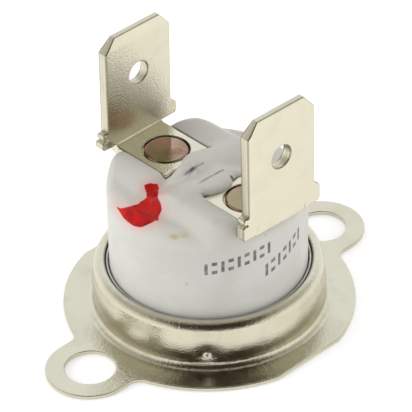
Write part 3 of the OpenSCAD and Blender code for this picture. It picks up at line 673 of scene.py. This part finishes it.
def terminal(reach, top, shift, foot_shift, lean, yaw, low, high, knob):
    """Bent sheet as grids. A place on the blank is x across and s along its middle line, which runs along the
    foot, round the bend and up the blade; h is the height over that line. The shoulders hang down beside the
    bend. Each grid's fourth column is the distance from the cut edge, which rounds the faces off."""
    bend_y = reach - half_sheet - bend_mid_r
    bend_s = bend_y - foot_end
    blade_s = round(bend_s + bend_mid_r * np.pi / 2, 6)
    top_s = round(blade_s + top - blade_z, 6)
    wing_low, wing_high = blade_s - (blade_z - low), blade_s + (high - blade_z)
    hole_s, latch_s = rivet_y - foot_end, top_s - latch_down
    rim = np.array([0, 0.012, 0.035, edge_r])
    hole_low, hole_high = hole_s - hole_block, hole_s + hole_block
    latch_low, latch_high = latch_s - latch_block, latch_s + latch_block
    x_half = even_lines(0, latch_block, hole_block, *(foot_half - rim), *(foot_half + rim), *(blade_half - rim),
                        *(shoulder_half - rim), gap=0.12)
    x_lines = np.unique(np.round(np.concatenate([-x_half, x_half]), 6))
    s_lines = np.unique(np.round(np.concatenate([
        even_lines(*rim, 0.11, 0.16, end_r, hole_low, hole_high, bend_s, gap=0.3),
        even_lines(bend_s, blade_s, gap=0.08),
        even_lines(*(wing_low + rim), blade_s, *(wing_high - rim), gap=0.05),
        even_lines(wing_high, *(wing_high + rim), latch_low, latch_high, top_s - cut_h, top_s - tip_h,
                   *(top_s - rim), gap=0.25)]), 6))

    def inside(x, s, hang, upper):
        """Distance from the cut edge on the blank."""
        ax = np.abs(x)
        fade = edge_r * ease(s, blade_s - 0.15, blade_s)
        hanging = np.minimum(np.minimum(ax - foot_half + fade, shoulder_half - ax), s - wing_low)
        foot = np.minimum(np.minimum(foot_half - ax + fade, s),
                          np.hypot(x, s - hole_s) - (sink_r if upper else shank_r))
        wide = (s < wing_high + 1e-6) & (ax > blade_half + 1e-6)
        side = np.where(s < wing_high + 1e-6, shoulder_half, blade_half) - ax
        blade = np.minimum(np.minimum(side, top_s - s), np.hypot(x, s - latch_s) - latch_r)
        blade = np.where(wide, np.minimum(blade, wing_high - s), blade)
        return np.maximum(np.where(hang & (s < blade_s), hanging, np.where(s > blade_s - 1e-6, blade, foot)), 0)

    def shoulder(x, s):
        """How far a shoulder stands out, how thick it is, and how far its top drops outward. One is plain, with
        rounded corners and a sloping top. The other is pinched into a bead over a rounded lobe."""
        down, up = wing_high - s, s - wing_low
        foot_round = 0.55 + 0.45 * np.sqrt(1 - (1 - np.clip(up / 0.3, 0, 1)) ** 2)
        plain = np.sqrt(1 - 0.4 * (1 - np.clip(down / 0.25, 0, 1)) ** 2)
        bead = np.sqrt(np.clip(1 - ((down - 0.27) / 0.3) ** 2, 0, 1))
        lobe = ease(down, 0.5, 0.72)
        knobbed = np.maximum(0.25 + 0.55 * bead, lobe)
        is_knob = np.sign(x) == knob
        out = foot_round * np.where(is_knob, knobbed, plain)
        thick = np.where(is_knob, np.maximum(0.5 + 0.42 * bead, 0.5 + 0.5 * lobe), 1) * (0.8 + 0.2 * foot_round)
        return out, thick, np.where(is_knob, 0, 0.3) * ease(s, wing_low + 0.5, wing_high)

    def bent(x, s, h, hang=False):
        """Blank folded over its bend. The bend is coined: its outer side is a superellipse, sharper than an arc.
        The foot's end is ragged. The blade is moved, leaned and turned, and its tip and corners are cut."""
        x, s, h = np.broadcast_arrays(np.asarray(x, float), s, h)
        angle = np.where(hang, np.pi / 2, np.clip((s - bend_s) / bend_mid_r, 0, np.pi / 2))
        past = np.where(hang, s - blade_s, np.maximum(s - blade_s, 0))
        before = np.where(hang, 0, np.minimum(s - bend_s, 0))
        cut = np.clip((s - top_s + cut_h) / cut_h, 0, 1)
        thin = 1 - (1 - tip_t / sheet_t) * np.clip((s - top_s + tip_h) / tip_h, 0, 1)
        wing = np.clip((np.abs(x) - blade_half) / (shoulder_half - blade_half), 0, 1)
        out, thick, drop = shoulder(x, s)
        wing_on = wing * (s < wing_high + 1e-6)
        cut_w = np.where(np.sign(x) == knob, cut_wide, cut_narrow)
        x = x * (1 - cut_w / blade_half * cut) - np.sign(x) * wing_on * (shoulder_half - blade_half) * (1 - out)
        h = h * thin * (1 - ease(wing_on, 0.0, 0.45) * (1 - thick))
        past = past - wing_on * drop
        squared = (np.sin(angle) ** bend_power + np.abs(np.cos(angle)) ** bend_power) ** (-1 / bend_power)
        around = (bend_mid_r - h) * (1 + (squared - 1) * np.clip((half_sheet - h) / sheet_t, 0, 1))
        ragged = 0.03 * (np.sin(7.3 * x + 0.6) + 0.6 * np.sin(17 * x + 2)) * (1 - ease(s, 0, 0.3)) * (~np.asarray(hang))
        y = bend_y + before + ragged + around * np.sin(angle)
        z = foot_mid_z + bend_mid_r - around * np.cos(angle) + past
        share = np.where(hang, 1, ease(s, bend_s - 0.3, blade_s))
        lean_by, yaw_by, high_up = np.radians(lean) * share, np.radians(yaw) * share, z - lean_z
        across = x * np.cos(lean_by) + high_up * np.sin(lean_by)
        inward = y - reach
        return points(shift * share + foot_shift * (1 - share) + across * np.cos(yaw_by) - inward * np.sin(yaw_by),
                      reach + across * np.sin(yaw_by) + inward * np.cos(yaw_by),
                      lean_z + high_up * np.cos(lean_by) - x * np.sin(lean_by))

    def face(x, s, upper, hang=False):
        """One face of the sheet, rounded off at its cut edges."""
        x, s = np.broadcast_arrays(np.asarray(x, float), s)
        d = inside(x, s, np.asarray(hang), upper)
        round_off = edge_r - np.sqrt(np.maximum(edge_r ** 2 - (edge_r - np.minimum(d, edge_r)) ** 2, 0))
        if upper and not hang:
            from_end = end_r - np.clip(s, 0, end_r)
            round_off = np.maximum(round_off, end_r - np.sqrt(end_r ** 2 - from_end ** 2))
        h = (half_sheet - round_off) * (1 if upper else -1)
        return np.concatenate([bent(x, s, h, hang), edge_mark(x, s, d, hang)[..., None]], -1)

    def edge_mark(x, s, d, hang):
        """Distance from the cut edge for the material, which paints a thin shade line near it. The foot's end and the
        slits between the bend and the shoulders are kept bright without that painted shade, so they count as no edge."""
        slit = (np.abs(np.abs(x) - foot_half) < 0.15) & (s > bend_s) & (s < blade_s)
        return np.where(slit | ((s < 0.3) & (not hang)), off_edge, np.minimum(d, off_edge))

    def strip(x, s, hang=False):
        """Cut face of the sheet along a line of the blank."""
        middle = np.concatenate([bent(x, s, 0, hang), edge_mark(x, x * 0 + s, -0.2, hang)[..., None]], -1)
        return np.stack([face(x, s, True, hang), middle, face(x, s, False, hang)])

    def between(lines, low_end, high_end):
        """The grid lines from one place to another."""
        return lines[(lines > low_end - 1e-5) & (lines < high_end + 1e-5)]

    def plate(x0, x1, s0, s1, hang=False):
        """Both faces of a rectangle of the blank."""
        x, s = np.meshgrid(between(x_lines, x0, x1), between(s_lines, s0, s1))
        return [face(x, s, upper, hang) for upper in (True, False)]

    def block_loop(half_size, middle):
        """Loop of grid points round a square block of the blank."""
        x, s = between(x_lines, -half_size, half_size), between(s_lines, middle - half_size, middle + half_size)
        return np.vstack([points(x, s[0]), points(x[-1], s[1:]), points(x[-2::-1], s[-1]), points(x[0], s[-2:0:-1])])

    def cut_edge(corners, hang=False):
        """Cut faces along straight lines between corners of the blank."""
        strips = []
        for (x0, s0), (x1, s1) in zip(corners, corners[1:]):
            x = between(x_lines, *sorted((x0, x1))) if s0 == s1 else x0
            s = s0 if s0 == s1 else between(s_lines, *sorted((s0, s1)))
            strips.append(strip(*np.broadcast_arrays(x, s), hang))
        return strips

    patches = plate(-foot_half, foot_half, 0, hole_low) + plate(-foot_half, foot_half, hole_high, blade_s)
    for side in (-1, 1):
        for near, far, start, end, hang in ((hole_block, foot_half, hole_low, hole_high, False),
                                            (foot_half, shoulder_half, wing_low, blade_s, True),
                                            (blade_half, shoulder_half, blade_s, wing_high, False),
                                            (latch_block, blade_half, latch_low, latch_high, False)):
            patches += plate(*sorted((side * near, side * far)), start, end, hang)
        for hang, corners in ((False, ((foot_half, 0), (foot_half, blade_s))),
                              (True, ((foot_half, blade_s), (foot_half, wing_low), (shoulder_half, wing_low),
                                      (shoulder_half, blade_s))),
                              (False, ((shoulder_half, blade_s), (shoulder_half, wing_high),
                                       (blade_half, wing_high), (blade_half, top_s)))):
            patches += cut_edge([(side * x, s) for x, s in corners], hang)
    patches += plate(-blade_half, blade_half, blade_s, latch_low)
    patches += plate(-blade_half, blade_half, latch_high, top_s)
    patches += cut_edge([(-foot_half, 0), (foot_half, 0)]) + cut_edge([(-blade_half, top_s), (blade_half, top_s)])
    loop, hole_lines = block_loop(hole_block, hole_s), []
    for radius, upper in ((sink_r, True), (shank_r, False)):
        x, s = np.moveaxis(ring_patch(loop, (0, hole_s), radius, 8, 2.2), -1, 0)
        patches.append(face(x, s, upper))
        hole_lines.append((x[-1], s[-1]))
    sink_line, shank_line = hole_lines
    sink_h = half_sheet - sink_depth
    patches += [np.stack([face(*sink_line, True)[:, :3], bent(*sink_line, sink_h)]),
                np.stack([bent(*sink_line, sink_h), bent(*shank_line, sink_h)]),
                np.stack([bent(*shank_line, sink_h), face(*shank_line, False)[:, :3]])]
    x, s = np.moveaxis(ring_patch(block_loop(latch_block, latch_s), (0, latch_s), latch_r, 10, 2.2), -1, 0)
    return patches + [face(x, s, True), face(x, s, False), strip(x[-1], s[-1])]


nickel_terminal = metal("nickel_terminal", (222, 217, 200), (212, 206, 186), stretch=(1, 1, 0.15), smudge=0.4,
                        rough=0.15, spread=0.1, relief=0.018, worn=0.55, mottle=1.2)
for node_name, side, reach, top, shift, foot_shift, lean, yaw, low, high in (
        ("arm_terminal", 1, 8.0, 20.42, 0.18, -0.03, 0.5, 0.8, 11.36, 12.7),
        ("fixed_terminal", -1, 7.4, 20.3, 0.21, 0.045, -0.3, -1.35, 10.86, 12.66)):
    grids = terminal(reach, top, side * shift, foot_shift, side * lean, yaw, low, high, -side)
    blade = solid(node_name + "_bent", grids if side == 1 else turned_half(grids), nickel_terminal, 30)
    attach(blade, "housing")
    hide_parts(node_name)

# Rivets: copper-coloured, with a flat head that fills the foot's sink and a lower end clinched under the roof.
# Each one clamps a foot, the ceramic and the parts below it. The heads are scratched and stained.
head_r, head_z, head_t, head_round = 1.66, 10.93, 0.46, 0.2
rivet_r, clinch_r, clinch_t = 1.2, 1.4, 0.35
rivet_metal = metal("turned_copper", (186, 150, 138), (132, 106, 84), stretch=(1, 0.25, 1), smudge=0.8, rough=0.05,
                    spread=0.1, relief=0.0025)
shader = rivet_metal.node_tree.nodes["Principled BSDF"]
place = add(rivet_metal.node_tree, "TexCoord")["Object"]
heat = noise(place, 820.0, 4.0, 2.0)
colour = shader.inputs["Base Color"].links[0].from_socket
for low, high, shade in ((0.48, 0.62, (208, 144, 140)), (0.46, 0.36, (140, 164, 112))):
    colour = tint(ramp(heat, low, high, 0.0, 0.4), colour, tone(*shade))
stain = ramp(noise(place, 750.0, 4.0, 1.0), 0.5, 0.62, 0.0, 0.5)
stain = maths("MAXIMUM", stain, times(spot_mask(place, (0, -rivet_y, 11.3), (2, 2, 2)), 0.75))
plug(shader, Base_Color=tint(stain, colour, tone(150, 148, 112)))
for node_name, side in (("arm_rivet", 1), ("fixed_rivet", -1)):
    clinch_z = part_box(node_name)[0].z / MM
    outline = rounded([(0, clinch_z), (clinch_r, clinch_z), (clinch_r, clinch_z + clinch_t),
                       (rivet_r, clinch_z + clinch_t), (rivet_r, head_z), (head_r, head_z),
                       (head_r, head_z + head_t), (0, head_z + head_t - 0.03)],
                      [0, 0.12, 0.1, 0.02, 0.02, 0.05, head_round, 0])
    rivet = solid(node_name + "_turned", [turned(outline, (0, side * rivet_y), 120)], rivet_metal)
    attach(rivet, "housing")
    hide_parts(node_name)

# Flange collar: one piece of nickel-plated steel. The flange with its two ears is stamped, the wall is drawn up
# out of it over the cap, its lip is rolled in, and three dents hold the cap.
plate_t, plate_edge = 0.32, 0.06
flange_r, flat_y = 10.8, 10.35
ear_x, ear_r, ear_hole_r = 11.9, 3.25, 1.85
fillet_r, gap_r = 0.9, 9.55
wall_r, shoulder_out_r = 8.62, 8.48
sweep_r = 0.56
bulge_r, bulge_z, waist_z = 7.0, 1.9, 2.82
shoulder_curve = 0.75
lip_top, lip_in_r = 4.08, 7.8
dent_bearing, dent_count, dent_z = np.radians(-135), 3, 1.62
punch_depth, punch_r, sink_deep, sink_wide, sink_most = 0.13, 0.27, 0.17, 0.9, 0.22
# painted shade: the value near zero puts a thin dark line in each rounding of the plate's edge, and the other rows stay
# bright
rim_shade_marks = np.array([0.5, 0.4, 0.3, 0.02, 0.3])


def collar_line():
    """Outer line of the drawn wall as (r, z): a concave sweep off the flange, the slightly swollen lower wall, a
    straight waist, and the rolled shoulder, which ends at the lip. Each is an arc given by its centre."""
    bulge_c = np.array([wall_r - bulge_r, bulge_z])
    low, high = np.arcsin((plate_t + sweep_r - bulge_z) / bulge_r), np.arcsin((waist_z - bulge_z) / bulge_r)
    sweep_c = bulge_c + (bulge_r * np.cos(low) + sweep_r, bulge_r * np.sin(low))
    shoulder_c = shoulder_out_r - shoulder_curve, lip_top - shoulder_curve
    lip = np.arccos((lip_in_r - shoulder_c[0]) / shoulder_curve)
    return np.vstack([arc(sweep_c, sweep_r, 1.5 * np.pi, np.pi, 14), arc(bulge_c, bulge_r, low, high, 24)[1:],
                      arc(shoulder_c, shoulder_curve, 0, lip, 30)])


def sheet_section(line, thickness):
    """Section of a sheet: its outer line, a half-round end, and the same line moved in by the thickness."""
    way = unit(np.gradient(line, axis=0))
    inward = points(-way[:, 1], way[:, 0])
    inward[0] = 0, -1
    inner = line + inward * thickness
    middle = (line[-1] + inner[-1]) / 2
    a = np.linspace(0, np.pi, 9)[1:-1, None]
    end = middle + (line[-1] - middle) * np.cos(a) + way[-1] * thickness / 2 * np.sin(a)
    return np.vstack([line, end, inner[::-1]])


def outward(edge):
    """Direction out of an outline that runs round counterclockwise."""
    way = unit(np.gradient(edge, axis=0))
    return points(way[:, 1], -way[:, 0])


def rounded_rim(edge, out):
    """Rounded edge of the plate on an outline: rows from the top face, over the edge, to the bottom face. The
    fourth column puts a painted shade line in the middle of each rounding."""
    a = np.linspace(0, np.pi / 2, 5)
    inset, drop = plate_edge * (1 - np.sin(a)), plate_edge * (1 - np.cos(a))
    rows = points(np.append(inset, inset[::-1]), np.append(plate_t - drop, drop[::-1]),
                  np.append(rim_shade_marks, rim_shade_marks[::-1]))[:, None]
    flat = edge - rows[..., :1] * out
    return points(flat[..., 0], flat[..., 1], rows[..., 1], rows[..., 2])


def dented(r, z, bearing):
    """Radius of the wall with its dents: a round punch mark with a broad shallow sink round it. The inner face,
    which is the second half of the section, follows as far as the cap lets it."""
    inner = np.arange(len(r))[:, None] > len(outer_line)
    sink = 0
    for i in range(dent_count):
        way = np.angle(np.exp(1j * (bearing - dent_bearing - i * TAU / dent_count))) * wall_r
        away = np.hypot(way, z - dent_z)
        sink = sink + punch_depth * np.exp(-(away / punch_r) ** 4) + sink_deep * np.exp(-(away / sink_wide) ** 2)
    return r - np.where(inner, np.minimum(sink, sink_most), sink) * ease(r, 7.9, 8.2) * ease(z, 0.6, 1.35)


def drawn_wall(bearing):
    """The drawn wall over a row of bearings."""
    r, z = section[:, :1], section[:, 1:]
    return lift(polar(dented(r, z, bearing), bearing), z)


outer_line = collar_line()
section = sheet_section(outer_line, plate_t)
fillet_y = ear_r + fillet_r
fillet_x = np.sqrt((flange_r + fillet_r) ** 2 - fillet_y ** 2)
ear_start = np.arctan2(fillet_y, fillet_x)
ear_bearings = np.linspace(-ear_start, ear_start, 65)
main_bearings = np.linspace(ear_start, np.pi - ear_start, 161)
fillet = arc((fillet_x, fillet_y), fillet_r, ear_start + np.pi, 1.5 * np.pi, 14)
upper_side = np.vstack([fillet, points(np.linspace(fillet_x, ear_x, 10)[1:-1], ear_r)])
ear_edge = np.vstack([upper_side * (1, -1), arc((ear_x, 0), ear_r, -np.pi / 2, np.pi / 2, 61), upper_side[::-1]])
ear_rim = rounded_rim(ear_edge, outward(ear_edge))[:, ::-1]
main_edge = polar(np.minimum(flange_r, flat_y / np.abs(np.sin(main_bearings))), main_bearings)
main_rim = rounded_rim(main_edge, outward(main_edge))
main_rim[:, 0] = ear_rim[:, 0]
main_rim[:, -1] = ear_rim[:, 0] * (-1, 1, 1, 1)
ear_flat = ear_rim[0, :, :2]
gap_corner = polar(gap_r, ear_start)
spoke = gap_corner + np.linspace(0, 1, 8)[1:-1, None] * (ear_flat[0] - gap_corner)
ear_loop = np.vstack([ear_flat, spoke[::-1] * (1, -1), polar(gap_r, ear_bearings), spoke])
ear_face = ring_patch(ear_loop, (ear_x, 0), ear_hole_r + plate_edge, 12)
main_low = polar(gap_r, main_bearings)
main_face = main_low + np.linspace(0, 1, 8)[:, None, None] * (main_rim[0, :, :2] - main_low)
low_r = np.linspace(outer_line[0, 0], gap_r, 6)[:, None]
flange_half = [ear_rim, main_rim]
for z in (plate_t, 0.0):
    flange_half += [lift(flat, z) for flat in (ear_face, polar(low_r, ear_bearings), polar(low_r, main_bearings),
                                               main_face)]
hole_edge = ring_patch(ear_loop, (ear_x, 0), ear_hole_r, 1)[-1]
flange_half.append(rounded_rim(hole_edge, unit((ear_x, 0) - hole_edge)))
half_bearings = np.concatenate([ear_bearings, main_bearings[1:]])
collar_metal = metal("nickel_steel", (214, 209, 193), (198, 192, 171), stretch=(1, 1, 0.3), smudge=0.35, rough=0.12,
                     spread=0.12, relief=0.03, worn=0.5, mottle=0.85, spun=True)
flange_collar = solid("flange_collar_drawn", flange_half + [drawn_wall(half_bearings)] + turned_half(flange_half)
                      + [drawn_wall(half_bearings + np.pi)], collar_metal)
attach(flange_collar, "housing")
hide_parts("flange_collar")

# Studio: a white floor that keeps the shadow, a white room that lights the part evenly, one soft lamp from
# each side, and the dark side of the room behind the camera, which the plated metal mirrors.
azimuth, elevation, roll = np.radians([-43.243, 36.409, -1.228])
camera_far = 215.56
aim = np.array([0, 0, view_z])
aside, above = 0.156, -1.908
focal_px, frame_px = 2960.8, 412


def stand(piece, across, up, back, place):
    """Turns a camera or lamp to its three directions and puts it in its place, in metres."""
    turn = np.eye(4)
    turn[:3] = np.stack([across, up, back, place], -1)
    piece.matrix_world = turn.T.tolist()


back = np.array([np.sin(azimuth) * np.cos(elevation), -np.cos(azimuth) * np.cos(elevation), np.sin(elevation)])
level = np.array([np.cos(azimuth), np.sin(azimuth), 0.0])
upright = np.cross(back, level)
right = np.cos(roll) * level + np.sin(roll) * upright
upward = -np.sin(roll) * level + np.cos(roll) * upright
lens = bpy.data.cameras.new("camera")
lens.sensor_width = 36.0
lens.lens = focal_px * lens.sensor_width / frame_px
lens.clip_start, lens.clip_end = 0.01, 20.0
camera = placed("camera", lens)
stand(camera, right, upward, back, (aim + camera_far * back - aside * right - above * upward) * MM)
bpy.context.scene.camera = camera

floor_size = 3.0
floor_mesh = bpy.data.meshes.new("floor")
floor_mesh.from_pydata([(x * floor_size, y * floor_size, 0) for x, y in ((-1, -1), (1, -1), (1, 1), (-1, 1))], [],
                       [(0, 1, 2, 3)])
floor_piece = placed("floor", floor_mesh)
floor_paint, tree, shader, place = new_material("white_floor")
path = add(tree, "LightPath")
seen = maths("MAXIMUM", path["Is Camera Ray"], path["Is Glossy Ray"])
glow = add(tree, "Emission", Color=tint(path["Is Camera Ray"], (1, 0.97, 0.76, 1), (1, 1, 1, 1)),
           Strength=times(seen, 0.3))
matt = add(tree, "BsdfDiffuse", Color=(0.9, 0.9, 0.9, 1))
plug(tree.nodes["Material Output"], Surface=add(tree, "AddShader", in0=glow[0], in1=matt[0])[0])
tree.nodes.remove(shader)
floor_mesh.materials.append(floor_paint)

world = bpy.data.worlds.new("white_room")
bpy.context.scene.world = world
world.use_nodes = True
tree = world.node_tree
path = add(tree, "LightPath")
toward = add(tree, "TexCoord")["Generated"]
height = add(tree, "SeparateXYZ", Vector=toward)["Z"]
dark_bearing, far_bearing = np.radians([-126, 47])
to_dark, to_side, to_far = (add(tree, "VectorMath", {"operation": "DOT_PRODUCT"}, in0=toward,
                                in1=(np.cos(way), np.sin(way), 0))["Value"]
                            for way in (dark_bearing, dark_bearing + np.pi / 2, far_bearing))
aloft = maths("MULTIPLY_ADD", path["Is Glossy Ray"], -0.16, 0.7)
near_floor = maths("MULTIPLY_ADD", path["Is Glossy Ray"], -0.08, 1.15)
far_wall = ramp(to_far, 0.35, 0.6)
room = maths("MAXIMUM", ramp(height, 0.3, 0.55, near_floor, aloft), times(far_wall, 1.06))
dark = times(ramp(maths("ABSOLUTE", to_side), 0.72, 0.5), times(ramp(to_dark, 0.0, 0.2), ramp(height, 0.05, 0.14)))
paint = tint(ramp(height, 0.2, 0.5), (1, 1, 0.94, 1), (1, 1, 0.86, 1))
for share, a, b in ((far_wall, None, (0.97, 1, 1, 1)), (path["Is Glossy Ray"], (1, 1, 1, 1), None),
                    (times(dark, path["Is Glossy Ray"]), None, (0.07, 0.05, 0.03, 1)),
                    (path["Is Camera Ray"], None, (1, 1, 1, 1))):
    paint = tint(share, a or paint, b or paint)
plug(tree.nodes["Background"], Color=paint, Strength=maths("MAXIMUM", room, path["Is Camera Ray"]))

for name, place, size, power in (("left_lamp", (-0.42, 0.28, 0.2), 0.25, 0.9),
                                 ("right_lamp", (0.4, -0.3, 0.16), 0.2, 0.35)):
    lamp = bpy.data.lights.new(name, "AREA")
    lamp.shape, lamp.size, lamp.energy = "DISK", size, power
    lamp_piece = placed(name, lamp)
    lamp_piece.visible_glossy = False
    back = unit(np.array(place))
    across = unit(np.cross((0, 0, 1), back))
    stand(lamp_piece, across, np.cross(back, across), back, place)

bpy.context.scene.view_settings.view_transform = "Standard"
